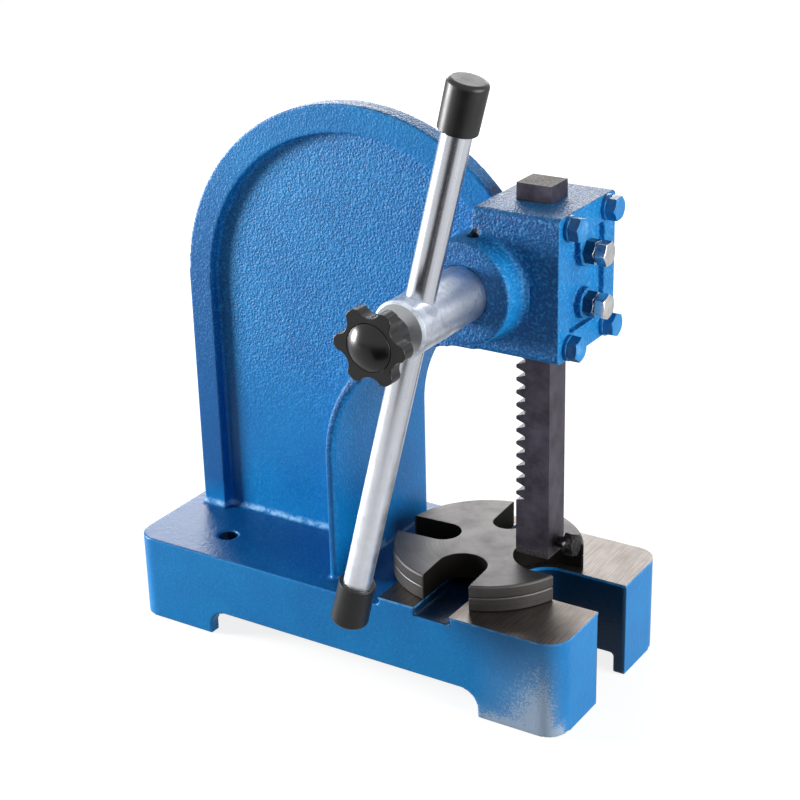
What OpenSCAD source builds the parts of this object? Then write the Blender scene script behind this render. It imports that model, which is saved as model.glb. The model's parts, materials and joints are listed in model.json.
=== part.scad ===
// Hand press: a cast frame, a rack ram, a pinion shaft and a sliding handle bar
// Sizes in millimetres. +Z is up, +X is the front, the handle is on the -Y side.
// The pieces are set out from the ram axis on the bench plane; placed() then moves
// them so that the origin is under the middle of the whole machine.

/* [Base] */
// length of the base, front to back
base_l = 241.6; // [225:0.2:262]
// width of the base
base_w = 105; // [96:1:116]
// distance from the ram axis to the front of the base
base_nose = 38; // [35:0.5:44]
// height of the rear part of the base
base_h = 44.2; // [40:0.2:50]
// height of the milled bed above the rear part
bed_rise = 4.2; // [3:0.1:6]
// length of the milled bed
bed_l = 95; // [86:1:110]
// radius of the upright corners of the base
base_corner_r = 11; // [8:0.5:14]
// height of the side arches
arch_h = 13; // [10:0.5:18]
// corner radius of the side arches
arch_r = 9; // [5:0.5:9.8]
// length of the rear feet
rear_foot_l = 45.8; // [36:0.5:56]
// length of the front feet
front_foot_l = 42; // [36:0.5:50]
// thickness of the outer walls of the hollow base
base_wall = 6; // [5:0.5:8]
// thickness of the top skin of the hollow base
base_skin = 9; // [7:0.5:12]
// width of the front slot
slot_w = 28.6; // [24:0.2:32]
// length of the front slot
slot_l = 48; // [44:0.5:52]
// thickness of the wall around the front slot
slot_wall = 6; // [5:0.5:7]
// gap between the bench and the wall around the slot
slot_wall_lift = 10; // [6:0.5:14]
// diameter of the bench bolt holes
bench_hole_d = 10; // [8:0.2:12]
// distance between the bench bolt holes
bench_hole_span = 59.2; // [50:0.2:70]
// distance of the bench bolt holes from the back of the base
bench_hole_inset = 42; // [32:0.5:60]
// width of the cross groove under the anvil
groove_w = 18.8; // [14:0.2:24]

/* [Column] */
// distance from the back of the base to the column
column_inset = 8.6; // [6:0.2:16]
// thickness of the column plate
column_t = 10; // [8:0.5:14]
// distance from the ram axis to the front of the circle of the arched top
arch_front = 3.8; // [1:0.2:6]
// distance from the underside of the head down to the centre of the arched top
arch_drop = 2.9; // [0:0.1:6]
// width of the raised rim
rim_w = 13.6; // [10:0.2:18]
// depth of the panel inside the rim
panel_depth = 5; // [3:0.2:6]
// radius of the fillet at the foot of the column
foot_fillet = 3; // [2:0.5:5]
// distance from the ram axis to the back of the throat
throat_depth = 87; // [84:0.2:96]
// height of the throat above the bed
throat_open = 121.7; // [112:0.1:134]
// radius of the upper corner of the throat
throat_r = 63; // [56:0.5:66]
// thickness of the flange around the throat
flange_t = 5; // [4:0.5:7]
// distance from the side of the base to the edge of the flange
flange_inset = 10.5; // [6:0.5:14]
// radius of the bend where the flange narrows towards the head
flange_bend_r = 38; // [32:1:42]
// distance from the underside of the head down to the start of that bend
flange_bend_drop = 30; // [24:1:36]

/* [Head] */
// width of the head
head_w = 53.6; // [50:0.2:60]
// height of the head
head_h = 65.6; // [62:0.2:72]
// distance from the ram axis to the back of the head
head_back = 20; // [18:0.5:26]
// radius of the long edges of the head
head_edge_r = 3; // [2:0.5:4]
// thickness of the wall around the shaft bore
boss_wall = 10.8; // [9:0.2:12]
// height of the boss on the handle side
boss_h = 13.7; // [10:0.1:20]
// height of the boss on the far side
far_boss_h = 2; // [1:0.5:4]
// radius of the fillet around the boss
boss_fillet = 4; // [2:0.5:6]
// radius of the outer edge of the boss
boss_edge_r = 1.5; // [0.5:0.1:3]
// diameter of the oil hole
oil_hole_d = 5.5; // [3:0.5:6]
// distance from the side of the head to the oil hole
oil_hole_out = 3; // [3:0.2:7]

/* [Cover plate] */
// thickness of the front cover plate
cover_t = 13.6; // [12:0.2:16]
// depth of the sunk middle of the plate
recess_depth = 3.2; // [2:0.1:5]
// corner radius of the sunk middle
recess_r = 3; // [1:0.5:5]
// width of the side rails
rail_side = 10.3; // [8:0.1:13]
// height of the lower rail
rail_low = 11.4; // [9:0.1:14]
// height of the upper rail
rail_high = 12; // [9:0.1:14]
// diameter of the pads for the adjusting screws
pad_d = 14; // [13:0.2:15.6]
// rise of the pads above the face of the plate
pad_rise = 0.4; // [0:0.1:1]
// thread diameter of the screws
screw_d = 6; // [5:0.1:6.6]
// width of the hex heads across the flats
hex_af = 10; // [9:0.1:11]
// height of the hex heads
hex_h = 4.8; // [3.6:0.1:5.4]
// distance from the side of the head to the bolts
bolt_edge_y = 9.2; // [8:0.1:10.4]
// distance from the top and bottom of the head to the bolts
bolt_edge_z = 5.9; // [5.8:0.1:7]
// thread length of the bolts in the casting
bolt_grip = 12; // [8:0.5:18]
// diameter of the bolt washers
washer_d = 11.6; // [11:0.1:12.6]
// thickness of the bolt washers
washer_t = 1.8; // [1:0.1:2]
// distance between the two adjusting screws
adjuster_span = 24; // [20:0.5:27]
// height of the lock nuts
nut_h = 5; // [4:0.1:6]
// gap between a lock nut and the head of its screw
nut_gap = 0.6; // [0:0.1:2]

/* [Ram] */
// width of the ram
ram_w = 15.2; // [14:0.2:17]
// depth of the ram over the teeth
ram_depth = 17; // [15.6:0.2:18.6]
// gap between the ram and the anvil plate as shown
ram_gap = 3.1; // [1:0.1:6]
// length of the ram above the head as shown
ram_above = 7.5; // [2:0.1:16]
// diameter of the tool bore
tool_bore_d = 8; // [6:0.2:9]
// depth of the tool bore
tool_bore_l = 22; // [16:0.5:24]
// height of the clamp screw above the foot of the ram
tool_screw_h = 6.6; // [6:0.1:9]
// distance from the front of the ram to the end of the clamp screw
tool_screw_out = 10.9; // [8:0.1:15]
// height of the head of the clamp screw
tool_head_h = 5.6; // [4:0.1:7]

/* [Rack and pinion] */
// tooth module
tooth_m = 2; // [1.9:0.02:2.1]
// pressure angle
press_angle = 20; // [19:0.5:22]
// height of the lowest tooth above the foot of the ram
rack_start = 30.6; // [28:0.2:34]
// plain length at the top of the ram
rack_plain = 16; // [10:0.5:24]
// number of pinion teeth
pinion_teeth = 10; // [10:1:11]
// profile shift of the pinion, in modules
pinion_shift = 0.45; // [0.42:0.01:0.5]
// play between the teeth at the pitch line
tooth_play = 0.2; // [0.16:0.02:0.3]
// length of the pinion teeth past each side of the ram
tooth_over = 2.2; // [1:0.2:4]
// diameter of the shaft
shaft_d = 25.4; // [24.6:0.1:27]
// height of the shaft axis above the underside of the head
shaft_rise = 30.7; // [29:0.1:33]
// distance from the handle bar to the end of the shaft
shaft_past = 13.5; // [11:0.1:18]
// chamfer on the end of the shaft
shaft_chamfer = 1.2; // [0.5:0.1:2]
// diameter of the far journal
journal_d = 19.9; // [17:0.1:21.5]
// diameter of the washer on the far end
shaft_washer_d = 28; // [25:0.5:34]
// thickness of the washer on the far end
shaft_washer_t = 3; // [2:0.1:4]
// thread diameter of the screw in the far end
shaft_screw_d = 8; // [6:0.5:10]
// width of its hex head across the flats
shaft_screw_af = 13; // [12.6:0.2:17]
// height of its hex head
shaft_screw_h = 5.3; // [4:0.1:7]
// length of its thread in the shaft
shaft_screw_l = 16; // [12:0.5:17]

/* [Handle] */
// diameter of the handle bar
bar_d = 12.8; // [11:0.1:14.4]
// length of the bar above the shaft axis
bar_upper = 104; // [80:0.5:140]
// length of the bar below the shaft axis
bar_lower = 154; // [110:0.5:170]
// lean of the bar towards the front
handle_lean = 14.4; // [0:0.1:40]
// distance from the boss to the handle bar
handle_reach = 36.8; // [30:0.1:46]
// thickness of the wall of the end caps
cap_wall = 2.3; // [1.6:0.1:3.4]
// length of the end caps
cap_l = 21.5; // [18:0.5:30]
// thickness of the closed end of the caps
cap_end = 3; // [2:0.1:5]
// edge radius of the caps
cap_edge_r = 2; // [1:0.1:2.2]

/* [Knob] */
// diameter over the lobes of the knob
knob_d = 34; // [30:0.5:40]
// thickness of the lobes
knob_t = 7; // [5.5:0.5:9]
// distance from the end of the shaft to the front face of the knob
knob_reach = 22; // [19:0.2:28]
// number of lobes
knob_lobes = 6; // [5:1:7]
// diameter of the domed cap
dome_d = 20.6; // [17:0.2:24]
// height of the domed cap
dome_h = 4; // [2:0.2:6]
// depth of the seat of the domed cap
dome_seat = 1.5; // [1:0.1:3]
// diameter of the threaded stud
stud_d = 8; // [6:0.5:10]
// length of the stud held in the knob
stud_grip = 2; // [1:0.1:3]
// wall of the hub around the stud
hub_wall = 5; // [3:0.2:7]
// gap between the shaft and the hub
hub_gap = 4.5; // [1:0.1:7]

/* [Anvil] */
// diameter of the anvil plate
anvil_d = 91; // [84:0.5:98]
// thickness of the anvil plate
anvil_t = 13; // [11:0.1:15]
// distance of the anvil centre behind the ram axis
anvil_back = 28; // [26:0.2:30]
// chamfer on the upper edge of the plate
anvil_chamfer = 0.8; // [0.3:0.1:2]
// width of the slot towards the front
slot_front_w = 34.5; // [30:0.5:36]
// width of the slot on the handle side
slot_near_w = 23.7; // [20:0.1:26]
// width of the slot on the far side
slot_far_w = 15; // [12:0.1:18]
// width of the slot towards the column
slot_back_w = 17.5; // [14:0.1:20]
// radius of the solid middle of the plate
anvil_hub_r = 15.2; // [14:0.2:17]
// turn of the plate as shown
anvil_turn = 3.4; // [0:0.1:6]
// diameter of the centre pin
pin_d = 10; // [8:0.2:12]
// length of the centre pin inside the plate
pin_up = 7; // [5:0.2:9]

/* [Hidden] */
$fn = 48;
// clearances: sliding faces, running fits, threads, pressed pieces, seats
slide_gap = 0.12;
back_gap = 0.25;
front_gap = 0.3;
run_gap = 0.05;
thread_gap = 0.05;
press_gap = 0.01;
hole_gap = 0.3;
rest_gap = 0.1;
tip_gap = 0.2;
// overlap that joins two shapes of one piece, and margin for cuts
join = 1;
far = 400;
// base
base_back = base_nose - base_l;
bed_z = base_h + bed_rise;
bed_back = base_nose - bed_l;
slot_end = base_nose - slot_l;
bench_hole_x = base_back + bench_hole_inset;
// column, throat and head
throat_z = bed_z + throat_open;
head_top = throat_z + head_h;
head_mid_z = throat_z + head_h / 2;
head_half = head_w / 2;
column_back = base_back + column_inset;
arch_r_top = (arch_front - column_back) / 2;
arch_mid_x = column_back + arch_r_top;
arch_mid_z = throat_z - arch_drop;
throat_mid_x = throat_r - throat_depth;
throat_mid_z = throat_z - throat_r;
flange_half = base_w / 2 - flange_inset;
// ram and cover
anvil_foot = bed_z + rest_gap;
ram_rest = anvil_foot + anvil_t + ram_gap;
ram_l = head_top + ram_above - ram_rest;
ram_front = ram_depth / 2;
ram_back = -ram_depth / 2;
seat_x = ram_front + front_gap;
cover_face = seat_x + cover_t;
pad_face = cover_face + pad_rise;
// rack and pinion
pitch = PI * tooth_m;
rack_teeth = floor((ram_l - rack_start - rack_plain) / pitch) + 1;
pitch_r = tooth_m * pinion_teeth / 2;
rack_line = ram_back + tooth_m;
shaft_x = rack_line - pitch_r - pinion_shift * tooth_m;
shaft_z = throat_z + shaft_rise;
shaft_r = shaft_d / 2;
boss_r = shaft_r + boss_wall;
base_r = pitch_r * cos(press_angle);
tip_r = min(pitch_r + tooth_m * (1 + pinion_shift), shaft_r - 0.3);
root_r = pitch_r - tooth_m * (1.25 - pinion_shift);
first_tooth = ram_rest + rack_start;
gap_count = round((shaft_z - first_tooth) / pitch - 0.5);
mesh_turn = (first_tooth + (gap_count + 0.5) * pitch - shaft_z) / pitch_r * 180 / PI;
gear_half = ram_w / 2 + tooth_over;
// the shaft from the middle plane outwards
far_face = head_half + far_boss_h;
washer_in = far_face + tip_gap;
washer_out = washer_in + shaft_washer_t;
boss_out = head_half + boss_h;
handle_y = boss_out + handle_reach;
shaft_out = handle_y + shaft_past;
knob_face = shaft_out + knob_reach;
knob_back = knob_face - knob_t;
knob_tip = knob_face + dome_h;
hub_end = shaft_out + hub_gap;
stud_tip = handle_y + bar_d / 2 + tip_gap;
stud_end = knob_back + stud_grip;
cap_r = bar_d / 2 + cap_wall;
// middle of the whole machine
mid_x = base_nose - base_l / 2;
mid_y = (base_w / 2 - knob_tip) / 2;
// colours
paint = [0.05, 0.36, 0.72];
zinc = [0.80, 0.81, 0.83];
steel = [0.55, 0.55, 0.54];
black = [0.09, 0.09, 0.10];

// half angle of a pinion tooth at a radius, from its involute flank
function inv(a) = tan(a) * 180 / PI - a;
function pitch_tooth() = pitch / 2 + 2 * pinion_shift * tooth_m * tan(press_angle) - tooth_play / 2;
function tooth_half(r) = pitch_tooth() / (2 * pitch_r) * 180 / PI
    + inv(press_angle) - inv(acos(base_r / max(r, base_r)));
function polar(r, a) = [r * cos(a), r * sin(a)];
// places of the cover bolts and of the adjusting screws
function bolt_y(i) = (i % 2 == 1 ? -1 : 1) * (head_half - bolt_edge_y);
function bolt_z(i) = i < 3 ? head_top - bolt_edge_z : throat_z + bolt_edge_z;
function adjuster_z(i) = head_mid_z + (i == 1 ? 1 : -1) * adjuster_span / 2;

// moves a piece from the ram axis to the middle of the machine
module placed() {
    translate([-mid_x, -mid_y, 0]) children();
}

// extrudes a drawing made in X and Z from y0 to y1
module along_y(y0, y1) {
    translate([0, y1, 0]) rotate([90, 0, 0]) linear_extrude(y1 - y0) children();
}

// extrudes a drawing made in Y and Z from x0 to x1
module along_x(x0, x1) {
    translate([x0, 0, 0]) rotate([90, 0, 90]) linear_extrude(x1 - x0) children();
}

module rod_y(x, z, r, y0, y1) {
    translate([x, y1, z]) rotate([90, 0, 0]) cylinder(r = r, h = y1 - y0);
}

module rod_x(y, z, r, x0, x1) {
    translate([x0, y, z]) rotate([0, 90, 0]) cylinder(r = r, h = x1 - x0);
}

// rectangle from a to b with round corners
module round_rect(a, b, r) {
    translate([a[0] + r, a[1]]) square([b[0] - a[0] - 2 * r, b[1] - a[1]]);
    translate([a[0], a[1] + r]) square([b[0] - a[0], b[1] - a[1] - 2 * r]);
    for (x = [a[0] + r, b[0] - r]) {
        for (y = [a[1] + r, b[1] - r]) {
            translate([x, y]) circle(r);
        }
    }
}

// inside corner at the origin filled with a fillet
module fillet_view(r) {
    difference() {
        translate([-join, -join]) square([r + join, r + join]);
        translate([r, r]) circle(r);
    }
}

// hex head along local Z with a chamfered top
module hex_head(af, h) {
    corner = af / cos(30) / 2;
    top = af / 2 * 0.96;
    intersection() {
        cylinder(r = corner, h = h, $fn = 6);
        rotate_extrude() polygon([[0, 0], [corner + join, 0],
            [corner + join, h - (corner + join - top) * 0.45], [top, h], [0, h]]);
    }
}

// plan of the base, moved in by a margin
module base_plan(inset) {
    round_rect([base_back + inset, -base_w / 2 + inset], [base_nose - inset, base_w / 2 - inset],
        max(base_corner_r - inset, 2));
}

// plan of the front slot, grown by a margin
module slot_plan(grow) {
    half = slot_w / 2;
    translate([slot_end + half, 0]) circle(half + grow);
    translate([slot_end + half, -half - grow]) square([slot_l, slot_w + 2 * grow]);
}

module base_body() {
    linear_extrude(base_h) base_plan(0);
    intersection() {
        linear_extrude(bed_z) base_plan(0);
        translate([bed_back, -base_w, 0]) cube([bed_l + join, 2 * base_w, bed_z + join]);
    }
}

// open underside of the base, with a wall left around the front slot
module base_hollow() {
    difference() {
        translate([0, 0, -join]) linear_extrude(base_h - base_skin + join) base_plan(base_wall);
        translate([0, 0, slot_wall_lift]) linear_extrude(base_h) slot_plan(slot_wall);
    }
}

// arches between the feet on both sides
module side_arch() {
    x0 = base_back + rear_foot_l;
    x1 = base_nose - front_foot_l;
    along_y(-base_w, base_w) {
        translate([x0, -join]) square([x1 - x0, arch_h - arch_r + join]);
        translate([x0 + arch_r, -join]) square([x1 - x0 - 2 * arch_r, arch_h + join]);
        translate([x0 + arch_r, arch_h - arch_r]) circle(arch_r);
        translate([x1 - arch_r, arch_h - arch_r]) circle(arch_r);
    }
}

// side view of the throat
module throat_view() {
    translate([-throat_depth, -far]) square([throat_depth + far, throat_mid_z + far]);
    translate([throat_mid_x, 0]) square([far, throat_z]);
    translate([throat_mid_x, throat_mid_z]) circle(throat_r, $fn = 96);
}

// side view of the column, with its edge moved in by a margin
module column_view(inset) {
    difference() {
        union() {
            translate([arch_mid_x, arch_mid_z]) circle(arch_r_top - inset, $fn = 128);
            translate([column_back + inset, base_h - join])
                square([-column_back - inset, arch_mid_z - base_h + join]);
        }
        throat_view();
        square([far, far]);
        translate([-far, -far]) square([2 * far, base_h - join + far]);
    }
}

// column plate with a sunk panel on the handle side
module column_plate() {
    difference() {
        along_y(-column_t / 2, column_t / 2) column_view(0);
        along_y(-column_t, -column_t / 2 + panel_depth) column_view(rim_w);
    }
}

// section of the throat flange: a strip with round edges
module flange_section() {
    half = flange_half - flange_t / 2;
    translate([0, -half]) square([flange_t, 2 * half]);
    translate([flange_t / 2, -half]) circle(flange_t / 2);
    translate([flange_t / 2, half]) circle(flange_t / 2);
}

// front view of the flange: straight sides that bend in towards the head
module flange_outline() {
    bend_z = throat_z - flange_bend_drop;
    out = flange_half - flange_bend_r;
    translate([-flange_half, 0]) square([2 * flange_half, bend_z]);
    translate([-head_half, 0]) square([head_w, throat_z + flange_t]);
    translate([-max(out, 0), 0]) square([2 * max(out, 0), bend_z + flange_bend_r]);
    for (side = [-1, 1]) {
        translate([side * out, bend_z]) circle(flange_bend_r, $fn = 96);
    }
}

// flange that follows the throat from the base up to the head
module throat_flange() {
    intersection() {
        union() {
            translate([-throat_depth - flange_t, 0, base_h - join])
                linear_extrude(throat_mid_z - base_h + join) flange_section();
            intersection() {
                translate([throat_mid_x, 0, throat_mid_z]) rotate([90, 0, 0]) rotate_extrude($fn = 96)
                    translate([throat_r, 0]) flange_section();
                translate([throat_mid_x - far, -far, throat_mid_z]) cube([far, 2 * far, far]);
            }
            translate([throat_mid_x, -head_half, throat_z])
                cube([max(-head_back - throat_mid_x, 0) + join, head_w, flange_t]);
        }
        along_x(-far, far) flange_outline();
    }
}

// boss around the shaft bore with a round outer edge
module shaft_boss() {
    edge = boss_r - boss_edge_r;
    translate([shaft_x, 0, shaft_z]) rotate([90, 0, 0]) rotate_extrude() {
        translate([0, -far_face]) square([boss_r, far_face + boss_out - boss_edge_r]);
        square([edge, boss_out]);
        translate([edge, boss_out - boss_edge_r]) circle(boss_edge_r);
    }
}

module head_block() {
    along_x(-head_back, seat_x) round_rect([-head_half, throat_z], [head_half, head_top], head_edge_r);
    shaft_boss();
    // fillet between the boss and the side of the head
    intersection() {
        translate([shaft_x, -head_half, shaft_z]) rotate([90, 0, 0]) rotate_extrude()
            translate([boss_r, 0]) fillet_view(boss_fillet);
        along_x(-head_back, seat_x) round_rect([-far, throat_z], [far, head_top], head_edge_r);
    }
}

// fillets where the rim, the panel and the far face of the column stand on the base
module foot_fillets() {
    panel_y = -column_t / 2 + panel_depth;
    front_x = -throat_depth - join;
    translate([0, 0, base_h]) {
        along_x(column_back, front_x) translate([column_t / 2, 0]) fillet_view(foot_fillet);
        along_x(column_back + rim_w - join, front_x) translate([panel_y, 0]) mirror([1, 0])
            fillet_view(foot_fillet);
        along_x(column_back, column_back + rim_w) translate([-column_t / 2, 0]) mirror([1, 0])
            fillet_view(foot_fillet);
    }
}

module frame_casting() {
    color(paint) placed() difference() {
        union() {
            base_body();
            column_plate();
            throat_flange();
            head_block();
            foot_fillets();
        }
        base_hollow();
        side_arch();
        translate([0, 0, -join]) linear_extrude(bed_z + 2 * join) slot_plan(0);
        // bench bolt holes
        for (side = [-1, 1]) {
            translate([bench_hole_x, side * bench_hole_span / 2, -join])
                cylinder(d = bench_hole_d, h = base_h + 2 * join);
        }
        // cross groove and pin hole in the bed
        translate([-anvil_back - groove_w / 2, -base_w, base_h])
            cube([groove_w, 2 * base_w, bed_rise + join]);
        translate([-anvil_back, 0, base_h - base_skin - join])
            cylinder(r = pin_d / 2 + press_gap, h = base_skin + 2 * join);
        // ram channel, closed in front by the cover plate
        translate([ram_back - back_gap, -ram_w / 2 - slide_gap, throat_z - join])
            cube([ram_depth + far, ram_w + 2 * slide_gap, far]);
        // shaft bore: full size to the shoulder, then the far journal
        rod_y(shaft_x, shaft_z, shaft_r + run_gap, -boss_out - join, gear_half + tip_gap);
        rod_y(shaft_x, shaft_z, journal_d / 2 + run_gap, 0, far_face + join);
        // oil hole on top of the boss
        translate([shaft_x, -head_half - oil_hole_out, shaft_z]) cylinder(d = oil_hole_d, h = 2 * boss_r);
        // threads for the cover bolts
        for (i = [1:4]) {
            rod_x(bolt_y(i), bolt_z(i), screw_d / 2 + thread_gap,
                seat_x - bolt_grip - join, seat_x + join);
        }
    }
}

// cover plate with a sunk middle and two pads for the adjusting screws
module front_cover() {
    sunk = cover_face - recess_depth;
    high = head_top - rail_high;
    half = head_half - rail_side;
    color(paint) placed() difference() {
        union() {
            difference() {
                along_x(seat_x, cover_face)
                    round_rect([-head_half, throat_z], [head_half, head_top], head_edge_r);
                along_x(sunk, cover_face + join)
                    round_rect([-half, throat_z + rail_low], [half, high], recess_r);
            }
            for (i = [1, 2]) {
                rod_x(0, adjuster_z(i), pad_d / 2, sunk - join, pad_face);
            }
            // the upper pad runs up into the top rail
            translate([sunk - join, -pad_d / 2, adjuster_z(1)])
                cube([recess_depth + join, pad_d, high + join - adjuster_z(1)]);
        }
        for (i = [1:4]) {
            rod_x(bolt_y(i), bolt_z(i), screw_d / 2 + hole_gap, 0, pad_face + join);
        }
        for (i = [1, 2]) {
            rod_x(0, adjuster_z(i), screw_d / 2 + thread_gap, 0, pad_face + join);
        }
    }
}

module cover_washer(i) {
    color(paint) placed() difference() {
        rod_x(bolt_y(i), bolt_z(i), washer_d / 2, cover_face, cover_face + washer_t);
        rod_x(bolt_y(i), bolt_z(i), screw_d / 2 + hole_gap,
            cover_face - join, cover_face + washer_t + join);
    }
}

// each head has come to rest at its own angle
module cover_bolt(i) {
    seat = cover_face + washer_t;
    color(paint) placed() {
        translate([seat, bolt_y(i), bolt_z(i)]) rotate([0, 90, 0]) rotate(17 * i) hex_head(hex_af, hex_h);
        rod_x(bolt_y(i), bolt_z(i), screw_d / 2, seat_x - bolt_grip, seat + join);
    }
}

// nut that locks an adjusting screw on its pad
module adjuster_nut(i) {
    color(paint) placed() difference() {
        translate([pad_face, 0, adjuster_z(i)]) rotate([0, 90, 0]) rotate(25 * i) hex_head(hex_af, nut_h);
        rod_x(0, adjuster_z(i), screw_d / 2 + thread_gap, pad_face - join, pad_face + nut_h + join);
    }
}

module adjuster_screw(i) {
    seat = pad_face + nut_h + nut_gap;
    color(zinc) placed() {
        translate([seat, 0, adjuster_z(i)]) rotate([0, 90, 0]) rotate(12 + 20 * i) hex_head(hex_af, hex_h);
        rod_x(0, adjuster_z(i), screw_d / 2, ram_front + tip_gap, seat + join);
    }
}

// outline of one rack tooth; the corners of its tip are broken
function rack_tooth(k) = let (
    z = rack_start + k * pitch,
    t = tan(press_angle),
    half = pitch / 4 - tooth_play / 4,
    root = 1.25 * tooth_m,
    nip = 0.15 * tooth_m
) [
    [rack_line + root, z - half - root * t],
    [rack_line - tooth_m + nip, z - half + (tooth_m - nip) * t],
    [rack_line - tooth_m, z - half + tooth_m * t + nip * 0.6],
    [rack_line - tooth_m, z + half - tooth_m * t - nip * 0.6],
    [rack_line - tooth_m + nip, z + half - (tooth_m - nip) * t],
    [rack_line + root, z + half + root * t]
];

// ram with rack teeth on its back and a tool bore in its foot
module ram() {
    low = rack_start - 0.6 * pitch;
    high = rack_start + (rack_teeth - 0.4) * pitch;
    color(black) placed() translate([0, 0, ram_rest]) difference() {
        along_y(-ram_w / 2, ram_w / 2) polygon(concat(
            [[ram_front, 0], [ram_back, 0], [ram_back, low]],
            [for (k = [0:rack_teeth - 1]) for (p = rack_tooth(k)) p],
            [[ram_back, high], [ram_back, ram_l], [ram_front, ram_l]]));
        translate([0, 0, -join]) cylinder(d = tool_bore_d, h = tool_bore_l + join);
        rod_x(0, tool_screw_h, screw_d / 2 + thread_gap, 0, ram_front + join);
    }
}

module tool_clamp_screw() {
    seat = ram_front + tool_screw_out - tool_head_h;
    color(black) placed() translate([0, 0, ram_rest + tool_screw_h]) {
        rod_x(0, 0, screw_d / 2, tool_bore_d / 2 + tip_gap, seat + join);
        translate([seat, 0, 0]) rotate([0, 90, 0]) rotate(8) hex_head(hex_af, tool_head_h);
    }
}

// outline of the pinion: involute flanks from the base circle to the tip
module pinion_view() {
    steps = 6;
    turn = 360 / pinion_teeth;
    flank = [for (j = [0:steps]) base_r + (tip_r - base_r) * j / steps];
    foot = tooth_half(base_r);
    polygon([for (n = [0:pinion_teeth - 1]) each concat(
        [polar(root_r, n * turn - foot)],
        [for (j = [0:steps]) polar(flank[j], n * turn - tooth_half(flank[j]))],
        [for (j = [steps:-1:0]) polar(flank[j], n * turn + tooth_half(flank[j]))],
        [polar(root_r, n * turn + foot)])]);
}

// shaft with a pinion cut in it, a cross hole for the bar and a thread for the knob
module pinion_shaft() {
    near_l = shaft_out - gear_half;
    color(zinc) placed() difference() {
        union() {
            translate([shaft_x, 0, shaft_z]) along_y(-gear_half, gear_half)
                rotate(mesh_turn) pinion_view();
            translate([shaft_x, -gear_half, shaft_z]) rotate([90, 0, 0]) rotate_extrude() polygon([
                [0, -join], [root_r - join, -join], [root_r - join, 0], [shaft_r, 0],
                [shaft_r, near_l - shaft_chamfer], [shaft_r - shaft_chamfer, near_l], [0, near_l]]);
            rod_y(shaft_x, shaft_z, journal_d / 2, gear_half, washer_in);
            rod_y(shaft_x, shaft_z, root_r - join, gear_half - join, gear_half + join);
        }
        handle_frame() translate([0, 0, -shaft_d]) cylinder(r = bar_d / 2 + run_gap, h = 2 * shaft_d);
        rod_y(shaft_x, shaft_z, stud_d / 2 + thread_gap, -shaft_out - join, -handle_y);
        rod_y(shaft_x, shaft_z, shaft_screw_d / 2 + thread_gap,
            washer_in - shaft_screw_l - join, washer_in + join);
    }
}

module shaft_washer() {
    color(zinc) placed() difference() {
        rod_y(shaft_x, shaft_z, shaft_washer_d / 2, washer_in, washer_out);
        rod_y(shaft_x, shaft_z, shaft_screw_d / 2 + hole_gap, washer_in - join, washer_out + join);
    }
}

module shaft_screw() {
    color(zinc) placed() {
        rod_y(shaft_x, shaft_z, shaft_screw_d / 2, washer_in - shaft_screw_l, washer_out + join);
        translate([shaft_x, washer_out, shaft_z]) rotate([-90, 0, 0])
            hex_head(shaft_screw_af, shaft_screw_h);
    }
}

// local Z runs up along the handle bar from the shaft axis
module handle_frame() {
    translate([shaft_x, -handle_y, shaft_z]) rotate([0, handle_lean, 0]) children();
}

module handle_bar() {
    color(zinc) placed() handle_frame() translate([0, 0, -bar_lower])
        cylinder(d = bar_d, h = bar_upper + bar_lower);
}

// moulded cap, a little wider at its closed end: mouth at 0, end at cap_l
module end_cap() {
    lip = 0.2 * cap_wall;
    edge = cap_r - cap_edge_r;
    rotate_extrude() difference() {
        union() {
            polygon([[0, 0], [cap_r - lip, 0], [cap_r - lip / 2, lip], [cap_r, cap_l - cap_edge_r],
                [0, cap_l - cap_edge_r]]);
            square([edge, cap_l]);
            intersection() {
                translate([edge, cap_l - cap_edge_r]) circle(cap_edge_r);
                translate([0, cap_l - cap_edge_r - join]) square([cap_r + join, cap_edge_r + 2 * join]);
            }
        }
        translate([-join, -join]) square([bar_d / 2 + press_gap + join, cap_l - cap_end + join]);
    }
}

module handle_cap_upper() {
    color(black) placed() handle_frame() translate([0, 0, bar_upper + cap_end - cap_l]) end_cap();
}

module handle_cap_lower() {
    color(black) placed() handle_frame() translate([0, 0, cap_l - cap_end - bar_lower]) rotate([180, 0, 0])
        end_cap();
}

// outline of the star knob: hollows between rounded lobes
module star_view() {
    r = knob_d / 2;
    turn = 360 / knob_lobes;
    intersection() {
        difference() {
            circle(r);
            for (n = [0:knob_lobes - 1]) {
                rotate(turn * (n + 0.5)) translate([r * 1.08, 0]) circle(r * 0.34);
            }
        }
        union() {
            circle(r * 0.86);
            for (n = [0:knob_lobes - 1]) {
                rotate(turn * n) translate([r * 0.74, 0]) circle(r * 0.26);
            }
        }
    }
}

module knob_star() {
    color(black) placed() translate([shaft_x, 0, shaft_z]) difference() {
        union() {
            along_y(-knob_face, -knob_back) star_view();
            rod_y(0, 0, stud_d / 2 + hub_wall, -knob_back - join, -hub_end);
        }
        rod_y(0, 0, dome_d / 2 + press_gap, -knob_face - join, dome_seat - knob_face);
        rod_y(0, 0, stud_d / 2 + press_gap, -stud_end, 0);
    }
}

// domed cap pressed into the knob
module knob_dome() {
    r = dome_d / 2;
    ball = (r * r + dome_h * dome_h) / (2 * dome_h);
    color(black) placed() translate([shaft_x, -knob_face, shaft_z]) rotate([90, 0, 0]) rotate_extrude() {
        translate([0, -dome_seat]) square([r, dome_seat]);
        intersection() {
            translate([0, dome_h - ball]) circle(ball);
            square([r, dome_h + join]);
        }
    }
}

module knob_stud() {
    color(zinc) placed() rod_y(shaft_x, shaft_z, stud_d / 2, -stud_end, -stud_tip);
}

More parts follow.
